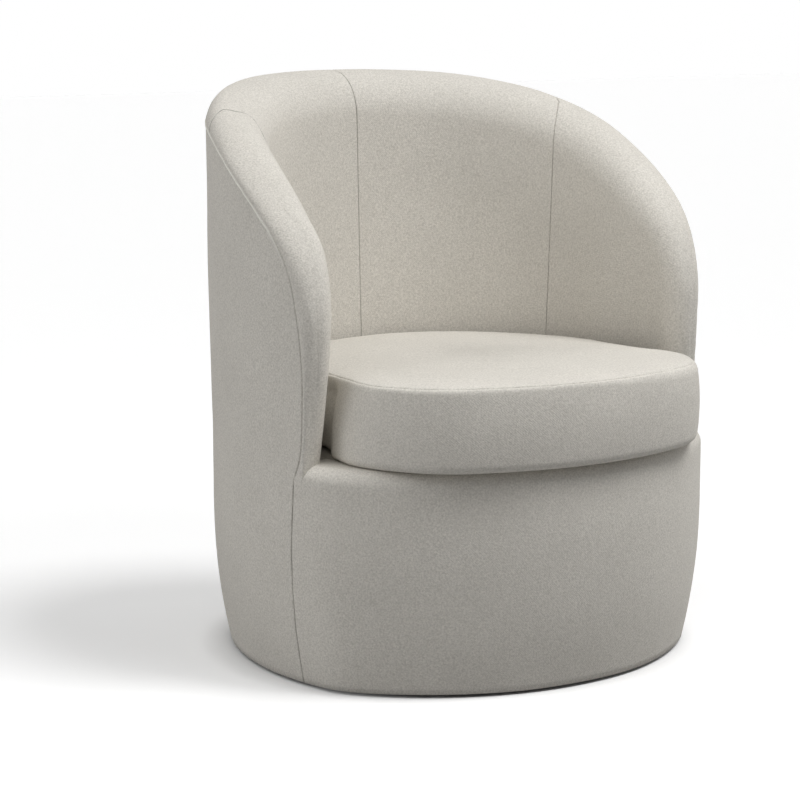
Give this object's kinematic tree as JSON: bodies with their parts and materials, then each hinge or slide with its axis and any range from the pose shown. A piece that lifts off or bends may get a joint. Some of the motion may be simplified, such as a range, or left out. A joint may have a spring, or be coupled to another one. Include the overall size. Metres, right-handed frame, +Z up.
{
  "type": "swivel armchair",
  "caption": "Upholstered tub armchair with a round sloping back, low arms and a loose seat cushion, turning on a hidden ball-bearing swivel base.",
  "frame": {"origin": "on the floor, on the swivel axis, which is the middle of the chair's plan", "axes": "+Z up along the swivel axis, the sitter faces -Y, +X to the right of someone who looks at the front"},
  "size_m": [0.7, 0.7222, 0.8212],
  "materials": {
    "upholstery": "matte woven",
    "foam": "open-cell foam",
    "plywood": "raw",
    "pressed_steel": "zinc",
    "hardware_steel": "bright zinc",
    "glide_nylon": "matte",
    "bush_bronze": "sintered",
    "deck_cloth": "plain woven",
    "dust_cloth": "non-woven",
    "webbing": "elastic webbing",
    "zip_tape": "woven tape"
  },
  "bodies": {
    "floor_base": {"floor_glides": "glide_nylon", "floor_plinth": "plywood", "swivel_lower_plate": "pressed_steel", "lower_plate_screws": "hardware_steel", "pivot_bolt": "hardware_steel", "pivot_washer": "hardware_steel", "pivot_nut": "hardware_steel"},
    "ball_ring": {"ball_cage": "pressed_steel", "bearing_balls": "hardware_steel"},
    "chair": {"arm_cover_left": "upholstery", "arm_cover_right": "upholstery", "arm_foam_left": "foam", "arm_foam_right": "foam", "back_cover_left": "upholstery", "back_cover_right": "upholstery", "back_foam_left": "foam", "back_foam_right": "foam", "base_board": "plywood", "deck_cloth": "deck_cloth", "deck_pad": "foam", "dust_cover": "dust_cloth", "frame_rib_1": "plywood", "frame_rib_2": "plywood", "frame_rib_3": "plywood", "frame_rib_4": "plywood", "frame_rib_5": "plywood", "frame_rib_6": "plywood", "frame_rib_7": "plywood", "front_board": "plywood", "front_cover": "upholstery", "front_foam": "foam", "inner_skin": "plywood", "outer_skin": "plywood", "outside_cover_left": "upholstery", "outside_cover_right": "upholstery", "outside_padding_left": "foam", "outside_padding_right": "foam", "pivot_bush": "bush_bronze", "rim_rail_back": "plywood", "rim_rail_left": "plywood", "rim_rail_right": "plywood", "seat_cleats": "plywood", "seat_ring": "plywood", "skirt_ring": "plywood", "swivel_upper_plate": "pressed_steel", "upper_plate_screws": "hardware_steel", "webbing_front_to_back": "webbing", "webbing_side_to_side": "webbing"},
    "seat_cushion": {"cushion_cover": "upholstery", "cushion_foam": "foam", "cushion_zip": "zip_tape"}
  },
  "joints": [
    {"name": "swivel", "type": "hinge", "parent": "floor_base", "child": "chair", "pos_m": [0, 0, 0.03], "axis": [0, 0, 1], "continuous": true},
    {"name": "ball_roll", "type": "hinge", "parent": "floor_base", "child": "ball_ring", "pos_m": [0, 0, 0.0295], "axis": [0, 0, 1], "continuous": true},
    {"name": "cushion_lift", "type": "slide", "parent": "chair", "child": "seat_cushion", "axis": [0, 0, 1], "range_m": [0, 0.2]}
  ],
  "couplings": [
    {"joint": "ball_roll", "follows": "swivel", "ratio": 0.5}
  ]
}
